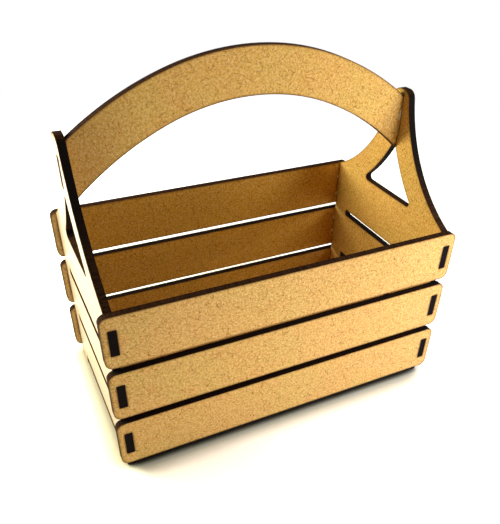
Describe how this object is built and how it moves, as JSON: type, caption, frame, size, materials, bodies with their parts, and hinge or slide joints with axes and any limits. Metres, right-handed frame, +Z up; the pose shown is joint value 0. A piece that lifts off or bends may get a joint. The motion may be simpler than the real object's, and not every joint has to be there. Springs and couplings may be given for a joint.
{
  "type": "trug garden basket",
  "caption": "Open box basket of slotted fibreboard slats between two peaked end panels, with a fixed arched board handle and a flat base on short feet.",
  "frame": {"origin": "bottom centre of the bounding box: on the floor, midway between the four feet", "axes": "+X along the slats to the right, +Y from the front slats to the back slats, +Z up"},
  "size_m": [0.15, 0.086, 0.1457],
  "materials": {
    "fibreboard": "raw matte faces, laser-charred edges"
  },
  "bodies": {
    "root": {"front_slat_bottom": "fibreboard", "front_slat_middle": "fibreboard", "front_slat_top": "fibreboard", "back_slat_bottom": "fibreboard", "back_slat_middle": "fibreboard", "back_slat_top": "fibreboard", "end_panel_left": "fibreboard", "end_panel_right": "fibreboard", "base_panel": "fibreboard", "handle": "fibreboard"}
  },
  "joints": []
}
